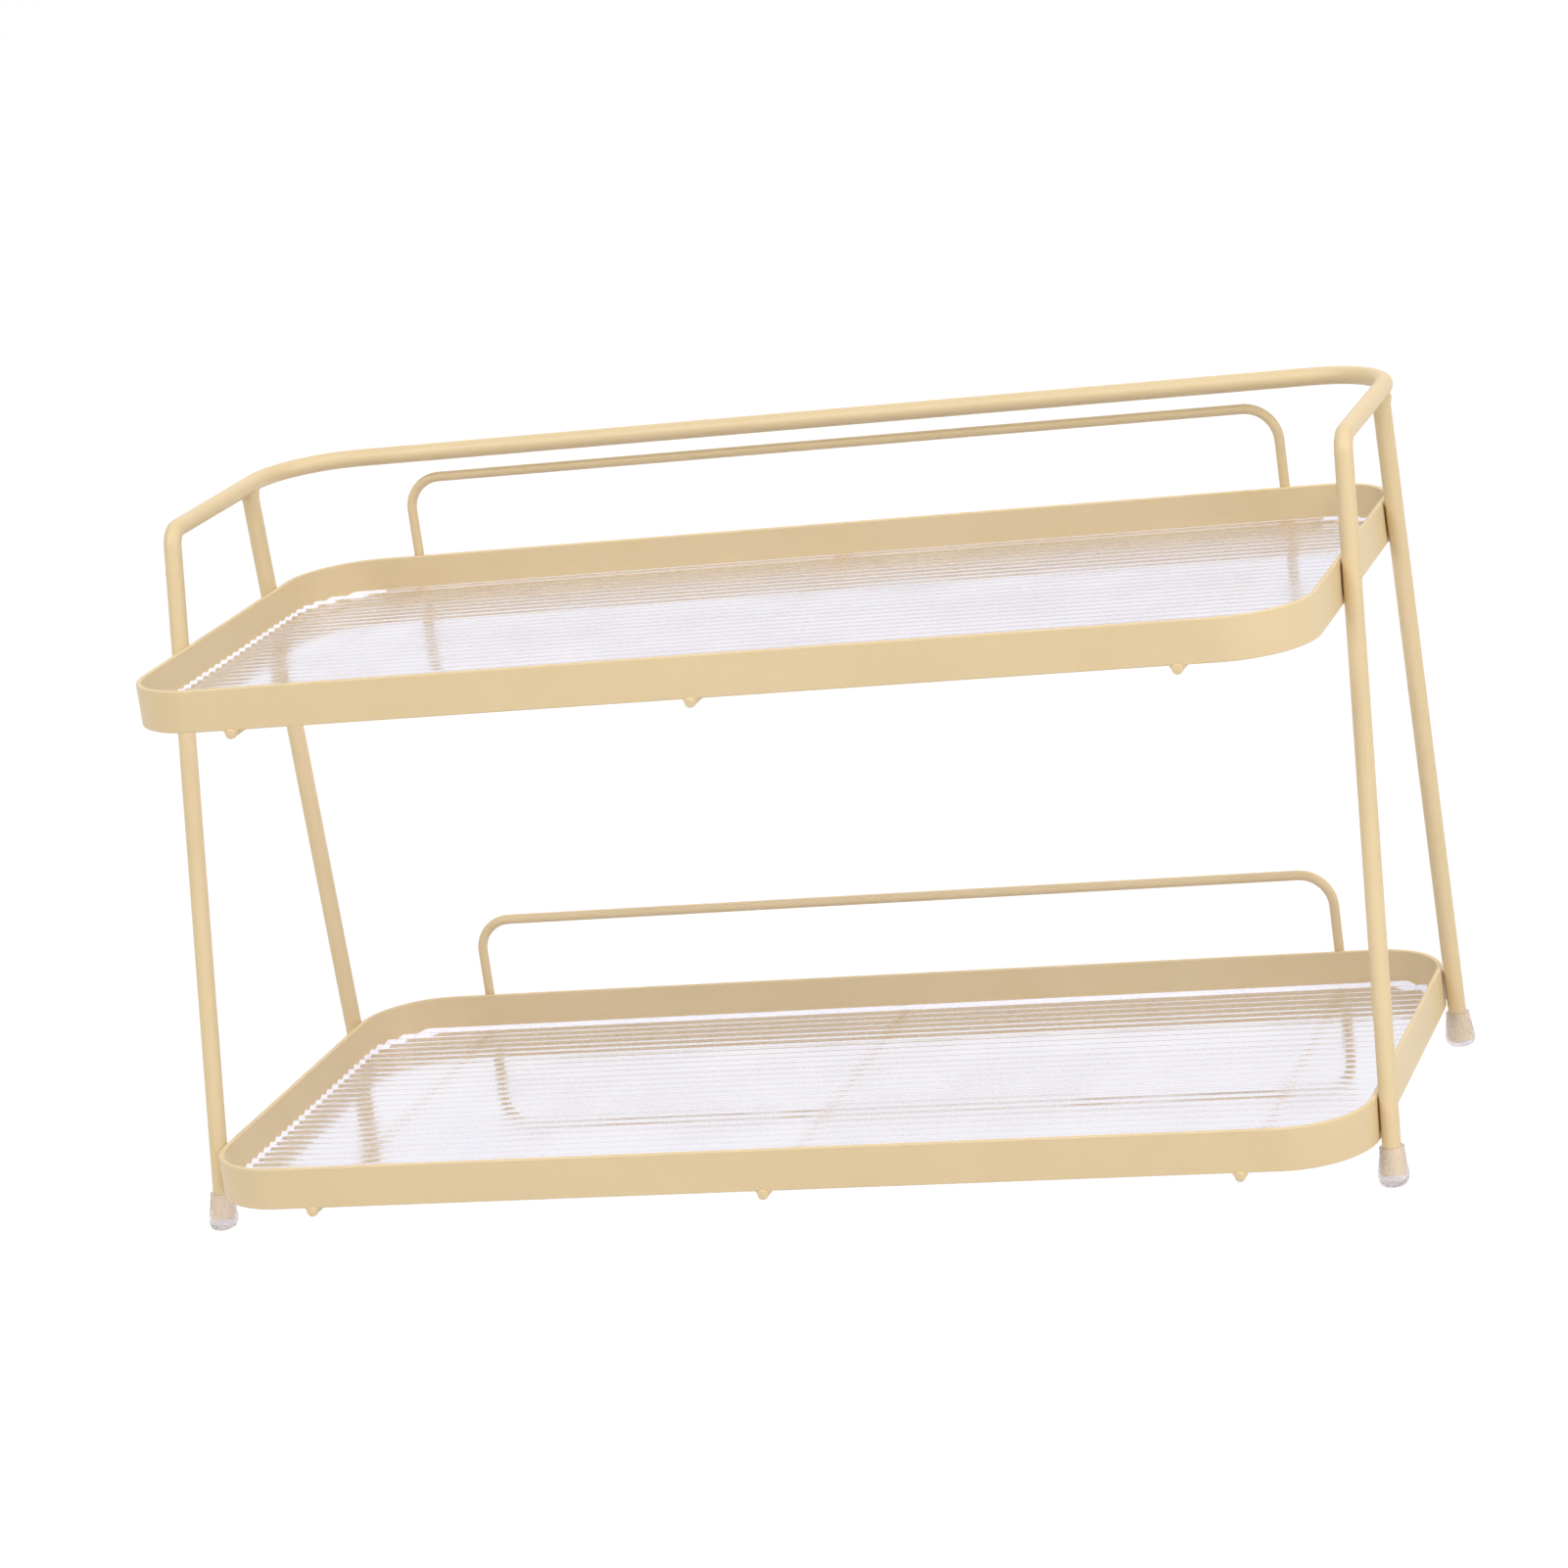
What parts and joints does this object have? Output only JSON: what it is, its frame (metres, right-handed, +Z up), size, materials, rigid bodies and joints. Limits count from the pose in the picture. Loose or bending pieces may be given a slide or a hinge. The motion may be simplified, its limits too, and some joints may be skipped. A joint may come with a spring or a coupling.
{
  "type": "tiered countertop organizer",
  "caption": "Tiered countertop rack: strip-rimmed trays with fluted clear panels on a welded rod frame with leaning legs, a top rail and low rear guards.",
  "frame": {"origin": "on the table, under the middle of the whole object", "axes": "+X to the right along the trays, +Y to the rear where the guards are, +Z up"},
  "size_m": [0.4066, 0.1864, 0.2303],
  "materials": {
    "cream_powder_coat": "pale cream satin powder coat",
    "clear_fluted_sheet": "clear, polished, fluted on top",
    "milky_soft_plastic": "milky, soft, slightly see-through"
  },
  "bodies": {
    "frame": {"top_rail": "cream_powder_coat", "rear_leg_left": "cream_powder_coat", "rear_leg_right": "cream_powder_coat", "lower_rim": "cream_powder_coat", "upper_rim": "cream_powder_coat", "lower_guard": "cream_powder_coat", "upper_guard": "cream_powder_coat", "lower_cross_wire_left": "cream_powder_coat", "lower_cross_wire_centre": "cream_powder_coat", "lower_cross_wire_right": "cream_powder_coat", "upper_cross_wire_left": "cream_powder_coat", "upper_cross_wire_centre": "cream_powder_coat", "upper_cross_wire_right": "cream_powder_coat", "foot_cap_front_left": "milky_soft_plastic", "foot_cap_front_right": "milky_soft_plastic", "foot_cap_rear_left": "milky_soft_plastic", "foot_cap_rear_right": "milky_soft_plastic"},
    "upper_panel": {"upper_panel": "clear_fluted_sheet"},
    "lower_panel": {"lower_panel": "clear_fluted_sheet"}
  },
  "joints": [
    {"name": "upper_panel_lift", "type": "slide", "parent": "frame", "child": "upper_panel", "axis": [0, 0, 1], "range_m": [0, 0.04]},
    {"name": "lower_panel_lift", "type": "slide", "parent": "frame", "child": "lower_panel", "axis": [0, 0, 1], "range_m": [0, 0.15]}
  ]
}
